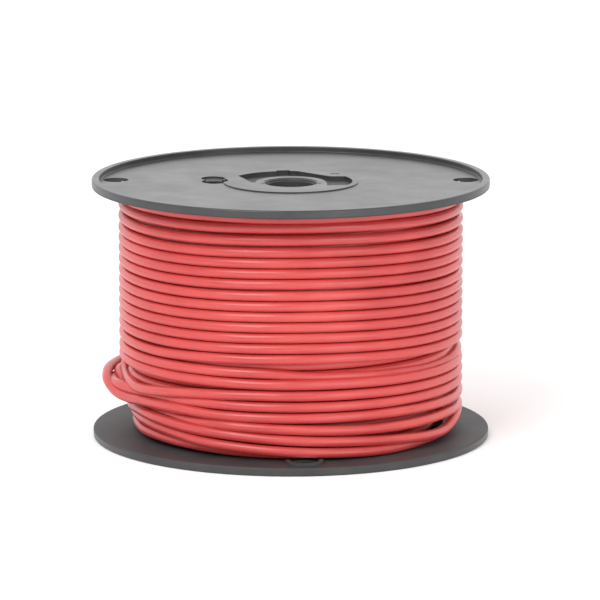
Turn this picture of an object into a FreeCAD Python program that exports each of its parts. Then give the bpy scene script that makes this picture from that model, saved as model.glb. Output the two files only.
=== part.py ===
"""Spool of insulated stranded building wire.

Two identical moulded flanges plug into the ends of a barrel tube, and one
continuous wire is wound on the barrel in eleven layers. One turn near the
bottom of the outer layer has sprung loose, and the wire's cut outer end lies
against the back of the winding.

Millimetres. The spool stands on its lower flange: the origin is the centre of
the floor face, and +Z is the spool's axis.
"""
import FreeCAD, Part
import math
import os

Vector = FreeCAD.Vector
Z_AXIS = Vector(0, 0, 1)

# Flange discs
OVERALL_HEIGHT = 108.6
FLANGE_RADIUS = 82.55
RIM_WIDTH = 3.1
RIM_HEIGHT = 3.5
RIM_EDGE_RADIUS = 0.7
WEB_RECESS = 2.15

# Hub in the middle of each flange
PAD_RADIUS = 28.0
PAD_RISE = 0.5
PAD_EDGE_CHAMFER = 0.15
ARBOR_RADIUS = 9.8
ARBOR_MOUTH_RADIUS = 10.7
ARBOR_MOUTH_DEPTH = 0.8
ARBOR_MOUTH_TAPER = 0.3
ARBOR_LIP_RADIUS = 0.6
DISH_RADIUS = 20.5
DISH_DEPTH = 0.7
SLEEVE_WALL = 3.2
SLEEVE_DEPTH = 22.0
SPIGOT_DEPTH = 15.0
SPIGOT_FIT_GAP = 0.05
RIB_COUNT = 4
RIB_THICKNESS = 1.6
RIB_DEPTH = 14.0

# Shallow pocket in the hub pad, for the wire's inner end: a C round the back, with a bay at its right end
POCKET_INNER_RADIUS = 14.6
POCKET_OUTER_RADIUS = 25.6
POCKET_DEPTH = 1.9
POCKET_FLOOR = 1.4
POCKET_FRONT_Y = -1.5
POCKET_LEFT_X = -17.0
POCKET_LEFT_SLOPE = -0.39
BAY_LEFT_X = 15.0
BAY_FRONT_Y = -10.3
BAY_BACK_Y = 11.8
BAY_CORNER_X = 16.6
BACK_CORNER_X = 2.2
NOTCH_WIDTH = 5.6
NOTCH_ANGLE = 97.0
NOTCH_OUTER_RADIUS = 27.2

# Short slot in the pad behind the bay
SLOT_X = (16.4, 20.4)
SLOT_Y = (17.8, 19.2)
SLOT_DEPTH = 1.0

# Holes in each flange
RIM_HOLE_RADIUS = 5.3
RIM_HOLE_CIRCLE_RADIUS = 73.0
RIM_HOLE_ANGLES = (4.5, 175.5)
RIM_HOLE_BOSS_RADIUS = 7.6
RIM_HOLE_BOSS_BORE_RADIUS = 6.0
RIM_HOLE_BOSS_HEIGHT = 1.2
RIM_HOLE_BOSS_CLEARANCE = 0.12
START_HOLE_RADIUS = 5.5
START_HOLE_CIRCLE_RADIUS = 31.5
START_HOLE_ANGLE = 177.0
START_HOLE_DEPTH = 9.0
START_STEP_RADIUS = 5.0
START_STEP_CIRCLE_RADIUS = 33.7
START_STEP_ANGLE = 163.5
START_STEP_DEPTH = 0.8

# How far the lower flange is turned on the barrel from the upper one, after it is turned over
LOWER_FLANGE_TURN = 90.0

# Barrel tube
BARREL_RADIUS = 31.75
BARREL_WALL = 1.75
BARREL_END_GAP = 0.05

# Wire and winding
WIRE_RADIUS = 2.085
LAYER_COUNT = 11
OUTER_TURN_RADIUS = 69.5
TURN_PITCH = 4.4
LAYER_GAP = 0.1
WINDING_END_GAP = 0.1
OUTER_LAYER_LOW_Z = 3.7
OUTER_LAYER_TURNS = 23

# Loose turn: a stretch of wire that bulges out on the -X side
LOOSE_START_ANGLE = 114.0
LOOSE_END_ANGLE = 246.0
LOOSE_STEP_ANGLE = 12.0
LOOSE_BULGE = 2.4
LOOSE_BULGE_HALF_ANGLE = 50.0
LOOSE_HIGH_Z = 30.0
LOOSE_LOW_Z = 21.4
LOOSE_LIFT = 0.6

# Cut outer end of the wire, on the +Y side
WIRE_END_Z = 27.2
WIRE_END_START_ANGLE = 62.0
WIRE_END_SWEEP = 34.0
WIRE_END_LIFT = 0.15
INSULATION_BORE_RADIUS = 1.47
STRAND_RADIUS = 0.28
STRAND_SPACING = 0.585
STRAND_RINGS = 2
STRAND_STICK_OUT_ANGLE = 0.5

INNER_FACE_LOW_Z = RIM_HEIGHT
INNER_FACE_HIGH_Z = OVERALL_HEIGHT - RIM_HEIGHT
BARREL_BORE_RADIUS = BARREL_RADIUS - BARREL_WALL
SPIGOT_RADIUS = BARREL_BORE_RADIUS - SPIGOT_FIT_GAP
SPIGOT_WALL = SPIGOT_RADIUS - PAD_RADIUS
WEB_Z = OVERALL_HEIGHT - WEB_RECESS
PAD_Z = WEB_Z + PAD_RISE


def polar(radius, angle, z=0.0):
    """Point at a radius and an angle in degrees about the spool's axis."""
    turn = math.radians(angle)
    return Vector(radius * math.cos(turn), radius * math.sin(turn), z)


def cylinder(radius, low, high, centre=Vector(0, 0, 0)):
    return Part.makeCylinder(radius, high - low, Vector(centre.x, centre.y, low), Z_AXIS)


def ring(inner_radius, outer_radius, low, high):
    return cylinder(outer_radius, low, high).cut(cylinder(inner_radius, low, high))


def block(low_corner, high_corner):
    size = high_corner - low_corner
    return Part.makeBox(size.x, size.y, size.z, low_corner)


def rounded_wire(corners):
    """Closed wire through (radius, z, rounding) corners, with a tangent arc at each rounded one."""
    edges = []
    ends = []
    count = len(corners)
    for index, (radius, z, rounding) in enumerate(corners):
        here = Vector(radius, 0, z)
        before = Vector(corners[index - 1][0], 0, corners[index - 1][1])
        after = Vector(corners[(index + 1) % count][0], 0, corners[(index + 1) % count][1])
        if rounding == 0:
            ends.append((here, here))
            continue
        to_before = (before - here).normalize()
        to_after = (after - here).normalize()
        half_angle = to_before.getAngle(to_after) / 2
        setback = rounding / math.tan(half_angle)
        start = here + to_before * setback
        end = here + to_after * setback
        inward = (to_before + to_after).normalize()
        middle = here + inward * (rounding / math.sin(half_angle) - rounding)
        edges.append(Part.Arc(start, middle, end).toShape())
        ends.append((start, end))
    for index in range(count):
        start = ends[index][1]
        end = ends[(index + 1) % count][0]
        edges.append(Part.LineSegment(start, end).toShape())
    return Part.Wire(Part.__sortEdges__(edges))


def revolved(corners):
    """Solid of revolution about the spool's axis, from (radius, z, rounding) corners."""
    face = Part.Face(rounded_wire(corners))
    return face.revolve(Vector(0, 0, 0), Z_AXIS, 360)


def flange_disc():
    """Rim, recessed web and raised hub pad of the upper flange, dished round the arbor hole's mouth."""
    rim_inner_radius = FLANGE_RADIUS - RIM_WIDTH
    dish_z = PAD_Z - DISH_DEPTH
    mouth_z = dish_z - ARBOR_MOUTH_DEPTH
    return revolved([
        (ARBOR_RADIUS, INNER_FACE_HIGH_Z, 0),
        (FLANGE_RADIUS, INNER_FACE_HIGH_Z, RIM_EDGE_RADIUS),
        (FLANGE_RADIUS, OVERALL_HEIGHT, RIM_EDGE_RADIUS),
        (rim_inner_radius, OVERALL_HEIGHT, RIM_EDGE_RADIUS / 2),
        (rim_inner_radius, WEB_Z, RIM_EDGE_RADIUS / 2),
        (PAD_RADIUS, WEB_Z, 0),
        (PAD_RADIUS, PAD_Z - PAD_EDGE_CHAMFER, 0),
        (PAD_RADIUS - PAD_EDGE_CHAMFER, PAD_Z, 0),
        (DISH_RADIUS, PAD_Z, 0),
        (ARBOR_MOUTH_RADIUS, dish_z, ARBOR_LIP_RADIUS),
        (ARBOR_MOUTH_RADIUS, mouth_z, 0),
        (ARBOR_RADIUS, mouth_z - ARBOR_MOUTH_TAPER, 0),
    ])


def arbor_sleeve():
    low = OVERALL_HEIGHT - SLEEVE_DEPTH
    return ring(ARBOR_RADIUS, ARBOR_RADIUS + SLEEVE_WALL, low, INNER_FACE_HIGH_Z)


def spigot():
    """Collar that plugs into the end of the barrel tube."""
    low = OVERALL_HEIGHT - SPIGOT_DEPTH
    return ring(PAD_RADIUS, SPIGOT_RADIUS, low, INNER_FACE_HIGH_Z)


def hub_ribs():
    """Radial ribs from the arbor sleeve out to the spigot."""
    low = OVERALL_HEIGHT - RIB_DEPTH
    start = ARBOR_RADIUS + SLEEVE_WALL / 2
    end = PAD_RADIUS + RIB_THICKNESS / 2
    ribs = []
    for index in range(RIB_COUNT):
        low_corner = Vector(start, -RIB_THICKNESS / 2, low)
        high_corner = Vector(end, RIB_THICKNESS / 2, INNER_FACE_HIGH_Z)
        rib = block(low_corner, high_corner)
        rib.rotate(Vector(0, 0, 0), Z_AXIS, (index + 0.5) * 360 / RIB_COUNT)
        ribs.append(rib)
    return ribs


def pocket_prism(inner_radius, outer_radius, border, low, high):
    """The pocket's outline between two radii, widened by a border at its ends and its straight back."""
    front = POCKET_FRONT_Y - border
    bay_left = BAY_LEFT_X - border
    bay_front = BAY_FRONT_Y - border
    bay_back = BAY_BACK_Y + border
    left_front = POCKET_LEFT_X + POCKET_LEFT_SLOPE * front - border
    left_back = POCKET_LEFT_X + POCKET_LEFT_SLOPE * outer_radius - border
    outline = [
        Vector(left_front, front, low),
        Vector(bay_left, front, low),
        Vector(bay_left, bay_front, low),
        Vector(outer_radius, bay_front, low),
        Vector(outer_radius, bay_back, low),
        Vector(BAY_CORNER_X + border, bay_back, low),
        Vector(BACK_CORNER_X + border, outer_radius, low),
        Vector(left_back, outer_radius, low),
        Vector(left_front, front, low),
    ]
    prism = Part.Face(Part.makePolygon(outline)).extrude(Vector(0, 0, high - low))
    return prism.common(ring(inner_radius, outer_radius, low, high))


def pocket_underside():
    """Thicker web under the pocket, from the arbor sleeve out to the spigot."""
    low = PAD_Z - POCKET_DEPTH - POCKET_FLOOR
    inner_radius = ARBOR_RADIUS + SLEEVE_WALL / 2
    outer_radius = PAD_RADIUS + SPIGOT_WALL / 2
    return pocket_prism(inner_radius, outer_radius, POCKET_FLOOR, low, WEB_Z)


def pocket_hollow():
    return pocket_prism(POCKET_INNER_RADIUS, POCKET_OUTER_RADIUS, 0, PAD_Z - POCKET_DEPTH, OVERALL_HEIGHT)


def pocket_notch():
    """Notch in the back of the pocket's outer wall, as deep as the pocket."""
    low_corner = Vector(POCKET_INNER_RADIUS + 1, -NOTCH_WIDTH / 2, PAD_Z - POCKET_DEPTH)
    high_corner = Vector(NOTCH_OUTER_RADIUS, NOTCH_WIDTH / 2, OVERALL_HEIGHT)
    notch = block(low_corner, high_corner)
    notch.rotate(Vector(0, 0, 0), Z_AXIS, NOTCH_ANGLE)
    return notch


def pad_slot():
    low_corner = Vector(SLOT_X[0], SLOT_Y[0], PAD_Z - SLOT_DEPTH)
    high_corner = Vector(SLOT_X[1], SLOT_Y[1], OVERALL_HEIGHT)
    return block(low_corner, high_corner)


def start_hole():
    """Hole beside the barrel that the wire's inner end comes out of."""
    centre = polar(START_HOLE_CIRCLE_RADIUS, START_HOLE_ANGLE)
    return cylinder(START_HOLE_RADIUS, OVERALL_HEIGHT - START_HOLE_DEPTH, OVERALL_HEIGHT, centre)


def start_step():
    """Shallow step in the web behind the start hole."""
    centre = polar(START_STEP_CIRCLE_RADIUS, START_STEP_ANGLE)
    return cylinder(START_STEP_RADIUS, WEB_Z - START_STEP_DEPTH, OVERALL_HEIGHT, centre)


def rim_holes():
    """Two holes near the rim, for a drive pin or for tying off the wire's outer end."""
    holes = []
    for angle in RIM_HOLE_ANGLES:
        centre = polar(RIM_HOLE_CIRCLE_RADIUS, angle)
        holes.append(cylinder(RIM_HOLE_RADIUS, INNER_FACE_HIGH_Z, OVERALL_HEIGHT, centre))
    return holes


def rim_hole_bosses():
    """Low wall round each rim hole on the web's inner side, between the winding and the rim."""
    low = INNER_FACE_HIGH_Z - RIM_HOLE_BOSS_HEIGHT
    inner_radius = OUTER_TURN_RADIUS + WIRE_RADIUS + RIM_HOLE_BOSS_CLEARANCE
    band = ring(inner_radius, FLANGE_RADIUS - RIM_WIDTH, low, INNER_FACE_HIGH_Z)
    bosses = []
    for angle in RIM_HOLE_ANGLES:
        centre = polar(RIM_HOLE_CIRCLE_RADIUS, angle)
        wall = cylinder(RIM_HOLE_BOSS_RADIUS, low, INNER_FACE_HIGH_Z, centre)
        wall = wall.cut(cylinder(RIM_HOLE_BOSS_BORE_RADIUS, low, INNER_FACE_HIGH_Z, centre))
        bosses.append(band.common(wall))
    return bosses


def upper_flange():
    """One moulding: disc, arbor sleeve, spigot, ribs and bosses."""
    solid = flange_disc()
    solid = solid.fuse([arbor_sleeve(), spigot(), pocket_underside()] + hub_ribs() + rim_hole_bosses())
    recesses = [pocket_hollow(), pocket_notch(), pad_slot(), start_step()]
    solid = solid.cut(recesses + [start_hole()] + rim_holes())
    return solid.removeSplitter()


def turned_over(solid):
    """A shape of the upper flange's, as it lies on the lower flange."""
    solid.rotate(Vector(0, 0, OVERALL_HEIGHT / 2), Vector(1, 0, 0), 180)
    solid.rotate(Vector(0, 0, 0), Z_AXIS, LOWER_FLANGE_TURN)
    return solid


def lower_flange():
    """The same moulding as the upper flange, turned over."""
    return turned_over(upper_flange())


def barrel_tube():
    """Tube between the flanges, with a gap at each end for the start hole beside it."""
    low = INNER_FACE_LOW_Z + BARREL_END_GAP
    high = INNER_FACE_HIGH_Z - BARREL_END_GAP
    tube = ring(BARREL_BORE_RADIUS, BARREL_RADIUS, low, high)
    return tube.cut([start_hole(), turned_over(start_hole())])


def layer_radii():
    """Radius of the wire's centre line in each layer, from the barrel outwards."""
    first = BARREL_RADIUS + WIRE_RADIUS
    step = (OUTER_TURN_RADIUS - first) / (LAYER_COUNT - 1)
    return [first + index * step for index in range(LAYER_COUNT)]


def plain_layer(index):
    """An inner layer of turns, as the space that it fills between its neighbours."""
    radii = layer_radii()
    half_step = (radii[1] - radii[0]) / 2
    inner_radius = radii[index] - half_step + LAYER_GAP / 2
    if index == 0:
        inner_radius = BARREL_RADIUS + LAYER_GAP
    outer_radius = radii[index] + half_step - LAYER_GAP / 2
    low = INNER_FACE_LOW_Z + WINDING_END_GAP
    high = INNER_FACE_HIGH_Z - WINDING_END_GAP
    return ring(inner_radius, outer_radius, low, high)


def outer_layer():
    """The outer layer of turns: a ridge for each turn on a plain inner face."""
    radii = layer_radii()
    inner_radius = (radii[-2] + radii[-1]) / 2 + LAYER_GAP / 2
    crest_radius = OUTER_TURN_RADIUS + WIRE_RADIUS
    half_pitch = TURN_PITCH / 2
    valley_radius = OUTER_TURN_RADIUS + math.sqrt(WIRE_RADIUS ** 2 - (0.9 * WIRE_RADIUS) ** 2)
    low = OUTER_LAYER_LOW_Z
    high = low + OUTER_LAYER_TURNS * TURN_PITCH
    edges = []
    for turn in range(OUTER_LAYER_TURNS):
        centre_z = low + (turn + 0.5) * TURN_PITCH
        start = Vector(valley_radius, 0, centre_z - half_pitch)
        crest = Vector(crest_radius, 0, centre_z)
        end = Vector(valley_radius, 0, centre_z + half_pitch)
        edges.append(Part.Arc(start, crest, end).toShape())
    back = [
        Vector(valley_radius, 0, high),
        Vector(inner_radius, 0, high),
        Vector(inner_radius, 0, low),
        Vector(valley_radius, 0, low),
    ]
    for start, end in zip(back, back[1:]):
        edges.append(Part.LineSegment(start, end).toShape())
    face = Part.Face(Part.Wire(Part.__sortEdges__(edges)))
    return face.revolve(Vector(0, 0, 0), Z_AXIS, 360)


def loose_turn_corners():
    """Corners of the loose stretch's route, bulging out in the middle and stepping down."""
    resting_radius = OUTER_TURN_RADIUS + 2 * WIRE_RADIUS + LOOSE_LIFT
    middle_angle = (LOOSE_START_ANGLE + LOOSE_END_ANGLE) / 2
    steps = round((LOOSE_END_ANGLE - LOOSE_START_ANGLE) / LOOSE_STEP_ANGLE)
    corners = []
    for index in range(steps + 1):
        angle = LOOSE_START_ANGLE + index * LOOSE_STEP_ANGLE
        away = (angle - middle_angle) / LOOSE_BULGE_HALF_ANGLE
        bulge = LOOSE_BULGE * math.exp(-(2 * away) ** 2 / 2)
        fall = 0.5 * (1 + math.tanh(1.6 * away))
        z = LOOSE_HIGH_Z + (LOOSE_LOW_Z - LOOSE_HIGH_Z) * fall
        corners.append(polar(resting_radius + bulge, angle, z))
    return corners


def tangent_arc_path(corners):
    """Straight runs joined by tangent arcs, each arc as large as its two runs allow."""
    edges = []
    radii = []
    run_start = corners[0]
    for before, here, after in zip(corners, corners[1:], corners[2:]):
        to_before = before - here
        to_after = after - here
        setback = 0.45 * min(to_before.Length, to_after.Length)
        to_before.normalize()
        to_after.normalize()
        half_angle = to_before.getAngle(to_after) / 2
        radius = setback * math.tan(half_angle)
        start = here + to_before * setback
        end = here + to_after * setback
        inward = (to_before + to_after).normalize()
        middle = here + inward * (radius / math.sin(half_angle) - radius)
        edges.append(Part.LineSegment(run_start, start).toShape())
        edges.append(Part.Arc(start, middle, end).toShape())
        radii.append(radius)
        run_start = end
    edges.append(Part.LineSegment(run_start, corners[-1]).toShape())
    print("bend radii, mm:", [round(radius, 1) for radius in radii])
    return Part.Wire(edges)


def loose_turn():
    corners = loose_turn_corners()
    path = tangent_arc_path(corners)
    circle = Part.Circle(corners[0], corners[1] - corners[0], WIRE_RADIUS)
    section = Part.Wire(circle.toShape())
    tube = path.makePipeShell([section], True, False)
    expected = math.pi * WIRE_RADIUS ** 2 * path.Length
    print("loose turn volume / section x length:", round(tube.Volume / expected, 4))
    return tube


def arc_tube(offset, rise, radius, start_angle, sweep):
    """Round bar bent about the spool's axis, offset outwards and upwards from the wire end's centre line."""
    centre_radius = OUTER_TURN_RADIUS + 2 * WIRE_RADIUS + WIRE_END_LIFT + offset
    centre = Vector(centre_radius, 0, WIRE_END_Z + rise)
    circle = Part.Circle(centre, Vector(0, 1, 0), radius)
    face = Part.Face(Part.Wire(circle.toShape()))
    bar = face.revolve(Vector(0, 0, 0), Z_AXIS, sweep)
    bar.rotate(Vector(0, 0, 0), Z_AXIS, start_angle)
    return bar


def wire_end_insulation():
    outside = arc_tube(0, 0, WIRE_RADIUS, WIRE_END_START_ANGLE, WIRE_END_SWEEP)
    bore = arc_tube(0, 0, INSULATION_BORE_RADIUS, WIRE_END_START_ANGLE, WIRE_END_SWEEP)
    return outside.cut(bore)


def wire_end_strands():
    """The conductor's nineteen strands: one in the middle, then rings of six and twelve."""
    sweep = WIRE_END_SWEEP + STRAND_STICK_OUT_ANGLE
    strands = [arc_tube(0, 0, STRAND_RADIUS, WIRE_END_START_ANGLE, sweep)]
    for ring_number in range(1, STRAND_RINGS + 1):
        count = 6 * ring_number
        ring_radius = STRAND_SPACING * ring_number
        for index in range(count):
            turn = 2 * math.pi * index / count
            offset = ring_radius * math.cos(turn)
            rise = ring_radius * math.sin(turn)
            strands.append(arc_tube(offset, rise, STRAND_RADIUS, WIRE_END_START_ANGLE, sweep))
    return Part.makeCompound(strands)


def spool_nodes():
    nodes = {
        "upper_flange": upper_flange(),
        "lower_flange": lower_flange(),
        "barrel_tube": barrel_tube(),
    }
    for index in range(LAYER_COUNT - 1):
        nodes[f"wire_layer_{index + 1:02d}"] = plain_layer(index)
    nodes[f"wire_layer_{LAYER_COUNT:02d}"] = outer_layer()
    nodes["loose_turn"] = loose_turn()
    nodes["wire_end_insulation"] = wire_end_insulation()
    nodes["wire_end_strands"] = wire_end_strands()
    return nodes


def main():
    os.makedirs("parts", exist_ok=True)
    for name, shape in spool_nodes().items():
        print(name, "solids", len(shape.Solids), "valid", shape.isValid(), "mm3", round(shape.Volume, 1))
        shape.exportStep(f"parts/{name}.step")


main()
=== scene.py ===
"""Looks of the wire spool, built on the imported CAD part.

The CAD flanges and barrel keep their shape and get procedural plastics. Each
layer of the winding is drawn as the turns of wire that it is made of, and
stands for the CAD ring of the same name. Lengths are in metres, and MM turns
millimetres into them. Angles are in degrees, counter-clockwise seen from
above, and 270 is the front.
"""
import math

import bpy
import numpy as np
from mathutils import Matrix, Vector


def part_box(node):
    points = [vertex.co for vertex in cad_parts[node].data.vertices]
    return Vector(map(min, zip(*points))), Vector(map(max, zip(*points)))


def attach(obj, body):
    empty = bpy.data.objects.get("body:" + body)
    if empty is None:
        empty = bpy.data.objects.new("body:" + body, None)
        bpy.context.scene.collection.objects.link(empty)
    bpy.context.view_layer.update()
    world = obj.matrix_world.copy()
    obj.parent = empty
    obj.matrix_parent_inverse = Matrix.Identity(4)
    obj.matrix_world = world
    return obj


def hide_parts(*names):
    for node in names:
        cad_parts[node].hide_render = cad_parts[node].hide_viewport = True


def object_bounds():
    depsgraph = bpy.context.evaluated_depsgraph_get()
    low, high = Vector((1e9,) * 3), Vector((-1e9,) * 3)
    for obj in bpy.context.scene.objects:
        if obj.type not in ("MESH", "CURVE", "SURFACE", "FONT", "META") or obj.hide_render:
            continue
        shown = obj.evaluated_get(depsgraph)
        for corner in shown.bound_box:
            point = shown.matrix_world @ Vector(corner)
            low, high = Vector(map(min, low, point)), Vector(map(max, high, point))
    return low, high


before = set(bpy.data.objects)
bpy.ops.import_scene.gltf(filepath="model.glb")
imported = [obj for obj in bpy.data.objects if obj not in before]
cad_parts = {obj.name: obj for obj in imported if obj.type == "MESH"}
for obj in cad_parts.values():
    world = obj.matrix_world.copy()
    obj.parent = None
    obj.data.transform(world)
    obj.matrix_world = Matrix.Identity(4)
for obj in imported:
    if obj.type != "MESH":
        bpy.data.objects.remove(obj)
cad_low, cad_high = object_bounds()

MM = 0.001
FRONT_ANGLE = 270.0

# Camera, as the photograph's
CAMERA_ELEVATION = 10.84
CAMERA_DISTANCE = 2.082
CAMERA_FIELD_OF_VIEW = 6.87
CAMERA_TARGET = Vector((3.83, 0.0, 56.68)) * MM

# White sky: how bright it is ahead of the spool's front and behind its back
FRONT_SKY = 0.70
BACK_SKY = 1.40

# Soft lamps: azimuth, elevation, distance, size and power in watts
KEY_LIGHT = (238.0, 42.0, 1.6, 0.9, 13.0)
FILL_LIGHT = (305.0, 10.0, 1.8, 1.2, 9.0)
FLOOR_WIDTH = 24.0

# Wire
WIRE_RADIUS = 2.085 * MM
FLANGE_INNER_LOW_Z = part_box("wire_layer_01")[0].z
FLANGE_INNER_HIGH_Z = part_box("wire_layer_01")[1].z
BARREL_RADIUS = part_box("barrel_tube")[1].x
OUTER_TURN_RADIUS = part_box("wire_layer_11")[1].x - WIRE_RADIUS
MIDDLE_Z = (cad_low.z + cad_high.z) / 2
INNER_SIDE_HALF_HEIGHT = 51.5 * MM
LAYER_COUNT = 11
INNER_TURN_PITCH = 4.4 * MM
LAYER_START_ANGLE = 137.5
INNER_SIDES = 8
INNER_STEPS = 60
EXPOSED_SIDES = 12
EXPOSED_STEPS = 120
# Layers that show through gaps further out, and the first and last turn that each of them is drawn with
EXPOSED_LAYER_TURNS = {LAYER_COUNT - 3: (0.0, 20.4), LAYER_COUNT - 2: (2.5, 21.4)}

# Outer layer. A turn number is a whole number where the wire passes the front.
OUTER_SIDES = 16
OUTER_STEPS = 200
OUTER_FIRST_TURN = -2.42
OUTER_LAST_TURN = 16.42
BOTTOM_FIRST_TURN = 16.44
BOTTOM_LAST_TURN = 20.04
TURN_ZERO_Z = 93.35 * MM
OUTER_PITCH = 4.33 * MM
CROSSOVER_SHARE = 0.7
ARCH_HEIGHT = 1.6 * MM
ARCH_CENTRE = 8.0
ARCH_WIDTH = 42.0
ARCH_FADE_Z = (15 * MM, 50 * MM)

# Extra spaces between turns: turn number where each opens, over how many turns, and its size
TURN_GAPS = [
    (-0.40, 0.30, 0.70 * MM),
    (0.70, 0.30, 0.60 * MM),
    (4.80, 0.40, 0.40 * MM),
    (11.45, 0.30, 1.90 * MM),
    (12.60, 0.30, -0.60 * MM),
]

# Stretches that leave the even winding: (turn number, radius, z) points in millimetres.
# The eased ones run back into it at both ends. The wire's end lifts over the winding at the back,
# and the low turns below it come up from the layer beneath.
CLIMB_TO_OUTER_LAYER = [
    (-2.42, 66.0, 102.8), (-2.36, 67.2, 102.8), (-2.28, 69.2, 102.6), (-2.20, 69.5, 102.2),
]
LEFT_OF_TURN_11 = [(10.72, 69.5, 44.4), (10.80, 69.5, 44.0), (10.86, 69.5, 43.9)]
SUNK_TURN_12 = [
    (11.70, 69.5, 39.0), (11.77, 69.5, 39.2), (11.85, 69.5, 39.25), (11.93, 69.3, 39.4),
    (11.98, 68.3, 39.1), (12.01, 67.1, 38.0), (12.06, 67.1, 37.3), (12.12, 67.2, 36.6),
    (12.19, 67.6, 35.8), (12.22, 68.6, 36.6),
]
LEFT_OF_TURN_13 = [
    (12.70, 69.5, 35.2), (12.77, 69.5, 35.3), (12.85, 69.5, 35.2), (12.92, 69.5, 35.1),
]
LOOSE_TURN_14 = [
    (13.73, 69.6, 28.9), (13.745, 69.0, 27.4), (13.77, 68.7, 26.4), (13.80, 69.2, 26.2),
    (13.825, 70.2, 26.2), (13.845, 70.6, 26.8), (13.87, 70.5, 27.9), (13.90, 70.0, 29.1),
]
LOOSE_TURN_15 = [
    (14.52, 69.5, 26.6), (14.55, 69.6, 24.4), (14.58, 71.0, 22.9), (14.62, 73.2, 21.9),
    (14.66, 74.4, 21.7), (14.69, 74.4, 21.8), (14.71, 74.0, 22.3), (14.73, 74.2, 22.6),
    (14.75, 74.2, 23.1), (14.765, 73.9, 23.6), (14.785, 72.6, 24.0), (14.80, 70.4, 23.7),
    (14.829, 67.8, 24.1), (14.862, 67.4, 24.6), (14.90, 68.8, 25.6),
]
LOOSE_TURN_16 = [
    (15.50, 71.0, 23.0), (15.53, 72.8, 23.9), (15.57, 74.2, 26.0), (15.63, 75.2, 26.4),
    (15.70, 76.5, 26.1), (15.742, 76.8, 25.6), (15.762, 76.4, 23.8), (15.783, 74.0, 21.0),
    (15.805, 71.2, 20.3), (15.83, 69.7, 21.0), (15.87, 69.5, 21.9),
]
LIFT_TO_WIRE_END = [
    (16.17, 69.5, 20.2), (16.22, 69.5, 19.4), (16.28, 69.9, 20.2), (16.36, 73.0, 25.0),
    (16.42, 73.82, 27.2),
]
LOW_TURN_17 = [
    (16.44, 61.0, 18.4), (16.55, 64.2, 19.4), (16.62, 66.0, 21.5), (16.67, 69.8, 24.6),
    (16.71, 72.2, 25.2), (16.735, 72.4, 25.1), (16.755, 70.2, 23.5), (16.78, 67.0, 20.2),
    (16.81, 65.2, 18.0), (16.86, 65.4, 17.3), (16.90, 67.6, 17.3), (16.93, 69.3, 17.4),
    (17.00, 69.5, 16.5), (17.06, 69.5, 15.4), (17.12, 69.5, 14.9), (17.18, 69.5, 14.7),
    (17.23, 69.5, 13.9),
]
LOW_TURN_18 = [
    (17.50, 68.0, 12.9), (17.70, 66.6, 13.3), (17.765, 66.3, 13.9), (17.81, 66.8, 15.3),
    (17.86, 68.9, 15.4), (17.90, 69.5, 14.4), (17.95, 69.5, 13.3), (18.00, 69.5, 12.0),
    (18.06, 69.5, 10.7), (18.11, 69.5, 9.3), (18.15, 69.6, 8.0), (18.17, 69.5, 7.6),
    (18.19, 69.5, 8.2), (18.205, 69.6, 9.6), (18.225, 69.5, 11.2),
]
LOW_TURN_19 = [
    (18.27, 69.5, 12.4), (18.35, 69.0, 12.5), (18.55, 67.0, 11.6), (18.70, 65.0, 11.2),
    (18.77, 64.8, 11.3), (18.81, 65.6, 11.6), (18.84, 67.0, 11.8), (18.88, 68.3, 10.9),
    (18.91, 69.4, 9.7), (18.95, 69.5, 8.6), (19.00, 69.5, 7.3), (19.06, 69.5, 6.2),
    (19.09, 69.2, 5.85), (19.11, 68.3, 5.75), (19.14, 66.8, 5.75),
]
LAST_TURN = [
    (19.20, 66.0, 5.75), (19.50, 65.0, 6.2), (19.70, 64.2, 7.0), (19.77, 64.2, 7.4),
    (19.79, 64.6, 7.2), (19.81, 65.2, 7.1), (19.84, 66.0, 7.4), (19.88, 66.4, 7.2),
    (19.91, 66.2, 6.8), (19.95, 65.6, 6.1), (20.04, 64.8, 5.75),
]
EASED_ROUTES = (
    LEFT_OF_TURN_11, SUNK_TURN_12, LEFT_OF_TURN_13, LOOSE_TURN_14, LOOSE_TURN_15, LOOSE_TURN_16,
)
LOW_ROUTE = LOW_TURN_17 + LOW_TURN_18 + LOW_TURN_19 + LAST_TURN

# Share of a turn in which an eased route runs back into the even winding
ROUTE_BLEND = 0.06


def polar(radius, angle, z):
    """Points at a radius, an angle in degrees and a height, for arrays of them."""
    turn = np.radians(angle)
    return np.stack([radius * np.cos(turn), radius * np.sin(turn), z], axis=-1)


def smooth_step(value):
    """Eases from 0 to 1 as a value goes from 0 to 1."""
    value = np.clip(value, 0.0, 1.0)
    return value * value * (3 - 2 * value)


def smooth_through(knots, values, at):
    """Smooth curve through (knot, value) pairs, whose slope at each knot comes from its neighbours."""
    knots = np.array(knots)
    values = np.array(values)
    slopes = np.gradient(values, knots)
    index = np.clip(np.searchsorted(knots, at) - 1, 0, len(knots) - 2)
    width = knots[index + 1] - knots[index]
    part = (at - knots[index]) / width
    value_near = (1 + 2 * part) * (1 - part) ** 2 * values[index]
    slope_near = part * (1 - part) ** 2 * width * slopes[index]
    value_far = part ** 2 * (3 - 2 * part) * values[index + 1]
    slope_far = part ** 2 * (1 - part) * width * slopes[index + 1]
    return (value_near + slope_near) + (value_far - slope_far)


def even_height(turns):
    """Height of the outer layer's wire at each turn number, where nothing has come loose."""
    sway = CROSSOVER_SHARE / (2 * math.pi) * np.sin(2 * math.pi * turns)
    z = TURN_ZERO_Z - OUTER_PITCH * (turns - sway)
    for start, length, size in TURN_GAPS:
        z = z - size * smooth_step((turns - start) / length + 0.5)
    from_front = 360 * (turns - np.round(turns))
    fade = smooth_step((z - ARCH_FADE_Z[0]) / (ARCH_FADE_Z[1] - ARCH_FADE_Z[0]))
    return z + ARCH_HEIGHT * fade * np.exp(-((from_front - ARCH_CENTRE) / ARCH_WIDTH) ** 2)


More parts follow.
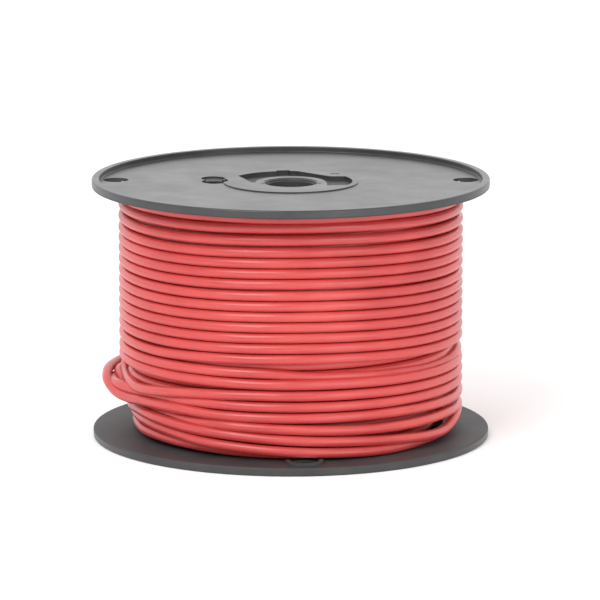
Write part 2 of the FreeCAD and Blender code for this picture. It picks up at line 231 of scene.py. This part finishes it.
def follow_route(turns, radius, z, route, joins_start=True, joins_end=True):
    """Radius and height with one stretch taken over by a route of given points.

    A route that joins the even winding takes up its radius and height a little way before its first
    point or after its last one.
    """
    knots = [point[0] for point in route]
    radii = [point[1] * MM for point in route]
    heights = [point[2] * MM for point in route]
    if joins_start:
        first = knots[0] - ROUTE_BLEND
        knots.insert(0, first)
        radii.insert(0, OUTER_TURN_RADIUS)
        heights.insert(0, float(even_height(np.array(first))))
    if joins_end:
        last = knots[-1] + ROUTE_BLEND
        knots.append(last)
        radii.append(OUTER_TURN_RADIUS)
        heights.append(float(even_height(np.array(last))))
    on_route = (turns >= knots[0]) & (turns <= knots[-1])
    radius = np.where(on_route, smooth_through(knots, radii, turns), radius)
    z = np.where(on_route, smooth_through(knots, heights, turns), z)
    return radius, z


class WireLine:
    """Centre line of a wire, with its direction and the length reached at each point."""

    def __init__(self, points, along=None, length=None):
        self.points = points
        if along is None:
            along = np.gradient(points, axis=0)
            along /= np.linalg.norm(along, axis=1, keepdims=True)
            steps = np.linalg.norm(np.diff(points, axis=0), axis=1)
            length = np.concatenate([[0.0], np.cumsum(steps)])
        self.along = along
        self.length = length

    def part(self, first, last):
        """The stretch from one point's index to another's, both included."""
        kept = slice(first, last + 1)
        return WireLine(self.points[kept], self.along[kept], self.length[kept])


def turn_numbers(first, last, steps_per_turn):
    """Evenly spaced turn numbers from the first to the last."""
    return np.linspace(first, last, int(round((last - first) * steps_per_turn)) + 1)


def outer_layer_line(turns):
    """Centre line of a stretch of the outer layer, by turn number."""
    radius = np.full_like(turns, OUTER_TURN_RADIUS)
    z = even_height(turns)
    z = np.minimum(z, FLANGE_INNER_HIGH_Z - WIRE_RADIUS)
    radius, z = follow_route(turns, radius, z, CLIMB_TO_OUTER_LAYER, joins_start=False)
    for route in EASED_ROUTES:
        radius, z = follow_route(turns, radius, z, route)
    radius, z = follow_route(turns, radius, z, LIFT_TO_WIRE_END, joins_end=False)
    radius, z = follow_route(turns, radius, z, LOW_ROUTE, joins_start=False, joins_end=False)
    return WireLine(polar(radius, FRONT_ANGLE + 360 * turns, z))


def inner_layer_line(index):
    """Centre line of an inner layer: an even helix, up in one layer and down in the next."""
    radii = np.linspace(BARREL_RADIUS + WIRE_RADIUS, OUTER_TURN_RADIUS, LAYER_COUNT)
    steps = INNER_STEPS
    first, last = 0.0, (FLANGE_INNER_HIGH_Z - FLANGE_INNER_LOW_Z - 2 * WIRE_RADIUS) / INNER_TURN_PITCH
    if index in EXPOSED_LAYER_TURNS:
        steps = EXPOSED_STEPS
        first, last = EXPOSED_LAYER_TURNS[index]
    turns = turn_numbers(first, last, steps)
    z = FLANGE_INNER_LOW_Z + WIRE_RADIUS + INNER_TURN_PITCH * turns
    if index % 2 == 0:
        z = FLANGE_INNER_HIGH_Z - WIRE_RADIUS - INNER_TURN_PITCH * turns
    return WireLine(polar(np.full_like(turns, radii[index]), LAYER_START_ANGLE * index + 360 * turns, z))


def tube_mesh(name, lines, radius, sides):
    """Closed round tubes along centre lines, with a UV map of metres along and share of the way round."""
    turns = 2 * math.pi * np.arange(sides) / sides
    vertices, faces, uvs = [], [], []
    for line in lines:
        base = len(vertices)
        outward = line.points * np.array([1.0, 1.0, 0.0])
        outward -= line.along * np.sum(outward * line.along, axis=1, keepdims=True)
        outward /= np.linalg.norm(outward, axis=1, keepdims=True)
        sideways = np.cross(line.along, outward)
        rings = line.points[:, None] + radius * (
            np.cos(turns)[:, None] * outward[:, None] + np.sin(turns)[:, None] * sideways[:, None])
        vertices.extend(rings.reshape(-1, 3).tolist())
        for index in range(len(rings) - 1):
            here = base + index * sides
            start, end = line.length[index], line.length[index + 1]
            for side in range(sides):
                beside = (side + 1) % sides
                faces.append((here + side, here + beside, here + sides + beside, here + sides + side))
                left, right = side / sides, (side + 1) / sides
                uvs.extend([(start, left), (start, right), (end, right), (end, left)])
        first_cap = len(vertices)
        vertices.extend(rings[0].tolist() + rings[-1].tolist())
        faces.append(tuple(first_cap + side for side in reversed(range(sides))))
        faces.append(tuple(first_cap + sides + side for side in range(sides)))
        uvs.extend([(0.0, 0.5)] * (2 * sides))
    mesh = bpy.data.meshes.new(name)
    mesh.from_pydata(vertices, [], faces)
    layer = mesh.uv_layers.new(name="wire")
    layer.data.foreach_set("uv", np.array(uvs, dtype=np.float32).ravel())
    mesh.polygons.foreach_set("use_smooth", [len(face) == 4 for face in faces])
    mesh.update()
    return mesh


def wire_piece(name, node, lines, sides, material):
    """A piece of wire that stands for a CAD node."""
    piece = bpy.data.objects.new(name, tube_mesh(name, lines, WIRE_RADIUS, sides))
    bpy.context.scene.collection.objects.link(piece)
    piece.data.materials.append(material)
    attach(piece, "root")
    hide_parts(node)
    return piece


def new_material(name):
    """A material with its node tree, its shader and a function that adds a node with given settings."""
    material = bpy.data.materials.new(name)
    material.use_nodes = True
    nodes = material.node_tree.nodes
    shader = nodes["Principled BSDF"]

    def add(kind, inputs=None, **settings):
        """Adds a node whose inputs are joined to sockets or set to values."""
        node = nodes.new(kind)
        for key, value in settings.items():
            setattr(node, key, value)
        for key, value in (inputs or {}).items():
            if isinstance(value, bpy.types.NodeSocket):
                material.node_tree.links.new(value, node.inputs[key])
            else:
                node.inputs[key].default_value = value
        return node

    def join(output, name):
        """Joins an output to one of the shader's inputs."""
        material.node_tree.links.new(output, shader.inputs[name])

    return material, shader, add, join


def colour_ramp(add, factor, stops):
    """A colour ramp node through (position, colour) stops."""
    ramp = add("ShaderNodeValToRGB", {"Fac": factor})
    elements = ramp.color_ramp.elements
    while len(elements) < len(stops):
        elements.new(0.5)
    for element, (position, colour) in zip(elements, stops):
        element.position = position
        element.color = (*colour, 1.0)
    return ramp.outputs["Color"]


def insulation_material():
    """Glossy red insulation, with faint ridges from the strands under it and scuffs from winding."""
    material, shader, add, join = new_material("insulation")
    uv = add("ShaderNodeUVMap", uv_map="wire").outputs["UV"]
    place = add("ShaderNodeTexCoord").outputs["Object"]
    drift = add("ShaderNodeTexNoise", {"Vector": place, "Scale": 24.0, "Detail": 3.0, "Roughness": 0.55})
    stretched = add("ShaderNodeMapping", {"Vector": uv, "Scale": (60.0, 14.0, 1.0)})
    streaks = add("ShaderNodeTexNoise", {"Vector": stretched.outputs["Vector"], "Scale": 1.0,
                                         "Detail": 5.0, "Roughness": 0.6})
    tone = add("ShaderNodeMath", {0: drift.outputs["Fac"], 1: 0.6}, operation="MULTIPLY")
    tone = add("ShaderNodeMath", {0: streaks.outputs["Fac"], 1: 0.4, 2: tone.outputs[0]},
               operation="MULTIPLY_ADD")
    colour = colour_ramp(add, tone.outputs[0], [
        (0.36, (0.45, 0.040, 0.038)),
        (0.52, (0.54, 0.056, 0.053)),
        (0.66, (0.60, 0.080, 0.072)),
    ])
    join(colour, "Base Color")
    rough = add("ShaderNodeMapRange", {"Value": streaks.outputs["Fac"], "From Min": 0.3, "From Max": 0.7,
                                       "To Min": 0.24, "To Max": 0.42})
    join(rough.outputs["Result"], "Roughness")
    lay = add("ShaderNodeMapping", {"Vector": uv, "Scale": (95.0, 12.0, 1.0)})
    ridges = add("ShaderNodeTexWave", {"Vector": lay.outputs["Vector"], "Scale": 0.32, "Distortion": 0.6,
                                       "Detail": 1.0}, bands_direction="DIAGONAL")
    grain = add("ShaderNodeTexNoise", {"Vector": place, "Scale": 900.0, "Detail": 2.0})
    low = add("ShaderNodeBump", {"Height": ridges.outputs["Fac"], "Strength": 0.12, "Distance": 0.00008})
    high = add("ShaderNodeBump", {"Height": grain.outputs["Fac"], "Strength": 0.15, "Distance": 0.00003,
                                  "Normal": low.outputs["Normal"]})
    join(high.outputs["Normal"], "Normal")
    shader.inputs["IOR"].default_value = 1.53
    return material


def flange_material():
    """Black moulded plastic: cloudy satin gloss outside, duller on the sides that face the wire."""
    material, shader, add, join = new_material("flange_plastic")
    place = add("ShaderNodeTexCoord").outputs["Object"]
    cloud = add("ShaderNodeTexNoise", {"Vector": place, "Scale": 60.0, "Detail": 6.0, "Roughness": 0.6})
    fine = add("ShaderNodeTexNoise", {"Vector": place, "Scale": 1400.0, "Detail": 2.0})
    colour = colour_ramp(add, cloud.outputs["Fac"], [
        (0.35, (0.030, 0.030, 0.032)),
        (0.70, (0.046, 0.046, 0.048)),
    ])
    join(colour, "Base Color")
    rough = add("ShaderNodeMapRange", {"Value": cloud.outputs["Fac"], "From Min": 0.3, "From Max": 0.7,
                                       "To Min": 0.29, "To Max": 0.39})
    above_middle = add("ShaderNodeSeparateXYZ", {"Vector": place}).outputs["Z"]
    above_middle = add("ShaderNodeMath", {0: above_middle, 1: MIDDLE_Z}, operation="SUBTRACT").outputs[0]
    from_middle = add("ShaderNodeMath", {0: above_middle}, operation="ABSOLUTE").outputs[0]
    inner_side = add("ShaderNodeMath", {0: from_middle, 1: INNER_SIDE_HALF_HEIGHT}, operation="LESS_THAN")
    rough = add("ShaderNodeMath", {0: inner_side.outputs[0], 1: 0.27, 2: rough.outputs["Result"]},
                operation="MULTIPLY_ADD")
    join(rough.outputs[0], "Roughness")
    coarse = add("ShaderNodeBump", {"Height": cloud.outputs["Fac"], "Strength": 0.06, "Distance": 0.0006})
    bump = add("ShaderNodeBump", {"Height": fine.outputs["Fac"], "Strength": 0.12, "Distance": 0.00003,
                                  "Normal": coarse.outputs["Normal"]})
    join(bump.outputs["Normal"], "Normal")
    shader.inputs["IOR"].default_value = 1.52
    return material


def barrel_material():
    """Matt black extruded tube with fine lines along it."""
    material, shader, add, join = new_material("barrel_plastic")
    place = add("ShaderNodeTexCoord").outputs["Object"]
    lines_place = add("ShaderNodeMapping", {"Vector": place, "Scale": (600.0, 600.0, 12.0)})
    lines = add("ShaderNodeTexNoise", {"Vector": lines_place.outputs["Vector"], "Scale": 1.0,
                                       "Detail": 3.0})
    colour = colour_ramp(add, lines.outputs["Fac"], [
        (0.3, (0.02, 0.02, 0.02)),
        (0.7, (0.05, 0.05, 0.05)),
    ])
    join(colour, "Base Color")
    bump = add("ShaderNodeBump", {"Height": lines.outputs["Fac"], "Strength": 0.2, "Distance": 0.0001})
    join(bump.outputs["Normal"], "Normal")
    shader.inputs["Roughness"].default_value = 0.55
    return material


def copper_material():
    """Bare copper strand, bright in some patches and a little brown in others."""
    material, shader, add, join = new_material("copper")
    place = add("ShaderNodeTexCoord").outputs["Object"]
    stain = add("ShaderNodeTexNoise", {"Vector": place, "Scale": 350.0, "Detail": 4.0})
    colour = colour_ramp(add, stain.outputs["Fac"], [
        (0.35, (0.55, 0.24, 0.14)),
        (0.6, (0.90, 0.48, 0.32)),
    ])
    join(colour, "Base Color")
    rough = add("ShaderNodeMapRange", {"Value": stain.outputs["Fac"], "To Min": 0.22, "To Max": 0.48})
    join(rough.outputs["Result"], "Roughness")
    bump = add("ShaderNodeBump", {"Height": stain.outputs["Fac"], "Strength": 0.15, "Distance": 0.00005})
    join(bump.outputs["Normal"], "Normal")
    shader.inputs["Metallic"].default_value = 1.0
    return material


def floor_material():
    """Matt near-white backdrop."""
    material, shader, add, join = new_material("floor")
    place = add("ShaderNodeTexCoord").outputs["Object"]
    mottle = add("ShaderNodeTexNoise", {"Vector": place, "Scale": 3.0, "Detail": 4.0})
    colour = colour_ramp(add, mottle.outputs["Fac"], [
        (0.3, (0.95, 0.95, 0.95)),
        (0.7, (0.98, 0.98, 0.98)),
    ])
    join(colour, "Base Color")
    shader.inputs["Roughness"].default_value = 0.9
    shader.inputs["Specular IOR Level"].default_value = 0.1
    return material


def dress_cad_nodes(insulation):
    """Gives the CAD nodes that are shown as they are their materials."""
    flange = flange_material()
    dress = {
        "upper_flange": flange,
        "lower_flange": flange,
        "barrel_tube": barrel_material(),
        "wire_end_insulation": insulation,
        "wire_end_strands": copper_material(),
    }
    for name, material in dress.items():
        for material_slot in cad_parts[name].material_slots:
            material_slot.material = material


def wind_wire(insulation):
    """Every layer of the winding, from the barrel outwards."""
    for index in range(LAYER_COUNT - 1):
        sides = EXPOSED_SIDES if index in EXPOSED_LAYER_TURNS else INNER_SIDES
        number = f"{index + 1:02d}"
        lines = [inner_layer_line(index)]
        wire_piece(f"turns_{number}", f"wire_layer_{number}", lines, sides, insulation)
    turns = turn_numbers(OUTER_FIRST_TURN, OUTER_LAST_TURN, OUTER_STEPS)
    upper = outer_layer_line(turns)
    loose_first, loose_last = np.searchsorted(turns, (LOOSE_TURN_16[0][0], LOOSE_TURN_16[-1][0]))
    bottom = outer_layer_line(turn_numbers(BOTTOM_FIRST_TURN, BOTTOM_LAST_TURN, OUTER_STEPS))
    outer_lines = [upper.part(0, loose_first), upper.part(loose_last, len(turns) - 1), bottom]
    wire_piece(f"turns_{LAYER_COUNT}", f"wire_layer_{LAYER_COUNT}", outer_lines, OUTER_SIDES, insulation)
    loose_lines = [upper.part(loose_first, loose_last)]
    wire_piece("sprung_turn", "loose_turn", loose_lines, OUTER_SIDES, insulation)


def add_floor():
    """Plain pale floor under the spool, wide enough to reach past the picture's edges."""
    half = FLOOR_WIDTH / 2
    mesh = bpy.data.meshes.new("floor")
    corners = [(-half, -half, 0), (half, -half, 0), (half, half, 0), (-half, half, 0)]
    mesh.from_pydata(corners, [], [(0, 1, 2, 3)])
    floor = bpy.data.objects.new("floor", mesh)
    bpy.context.scene.collection.objects.link(floor)
    mesh.materials.append(floor_material())


def aimed(thing, location, target):
    """Places a lamp or camera so that it looks at a target."""
    thing.location = location
    thing.rotation_mode = "QUATERNION"
    thing.rotation_quaternion = (target - location).to_track_quat("-Z", "Y")


def add_light(name, azimuth, elevation, distance, size, power):
    """Soft area light that looks at the middle of the spool. Azimuth is counter-clockwise from +X."""
    light = bpy.data.lights.new(name, "AREA")
    light.shape = "DISK"
    light.size = size
    light.energy = power
    lamp = bpy.data.objects.new(name, light)
    bpy.context.scene.collection.objects.link(lamp)
    around, up = math.radians(azimuth), math.radians(elevation)
    away = Vector((math.cos(around) * math.cos(up), math.sin(around) * math.cos(up), math.sin(up)))
    aimed(lamp, CAMERA_TARGET + away * distance, CAMERA_TARGET)


def add_surroundings():
    """White sky, brighter behind the spool than ahead of it, and two soft lamps in front."""
    world = bpy.data.worlds.new("studio")
    bpy.context.scene.world = world
    world.use_nodes = True
    nodes, links = world.node_tree.nodes, world.node_tree.links
    direction = nodes.new("ShaderNodeSeparateXYZ")
    links.new(nodes.new("ShaderNodeTexCoord").outputs["Generated"], direction.inputs["Vector"])
    brightness = nodes.new("ShaderNodeMapRange")
    brightness.inputs["From Min"].default_value = -1.0
    brightness.inputs["To Min"].default_value = FRONT_SKY
    brightness.inputs["To Max"].default_value = BACK_SKY
    links.new(direction.outputs["Y"], brightness.inputs["Value"])
    background = nodes["Background"]
    background.inputs["Color"].default_value = (1.0, 1.0, 1.0, 1.0)
    links.new(brightness.outputs["Result"], background.inputs["Strength"])
    add_light("key", *KEY_LIGHT)
    add_light("fill", *FILL_LIGHT)
    bpy.context.scene.view_settings.view_transform = "Standard"


def add_camera():
    """Camera a little above the spool, at the photograph's angle."""
    camera_data = bpy.data.cameras.new("camera")
    camera_data.angle = math.radians(CAMERA_FIELD_OF_VIEW)
    camera = bpy.data.objects.new("camera", camera_data)
    bpy.context.scene.collection.objects.link(camera)
    up = math.radians(CAMERA_ELEVATION)
    away = Vector((0.0, -math.cos(up), math.sin(up)))
    aimed(camera, CAMERA_TARGET + away * CAMERA_DISTANCE, CAMERA_TARGET)
    bpy.context.scene.camera = camera


add_camera()
add_surroundings()
add_floor()
insulation = insulation_material()
dress_cad_nodes(insulation)
wind_wire(insulation)
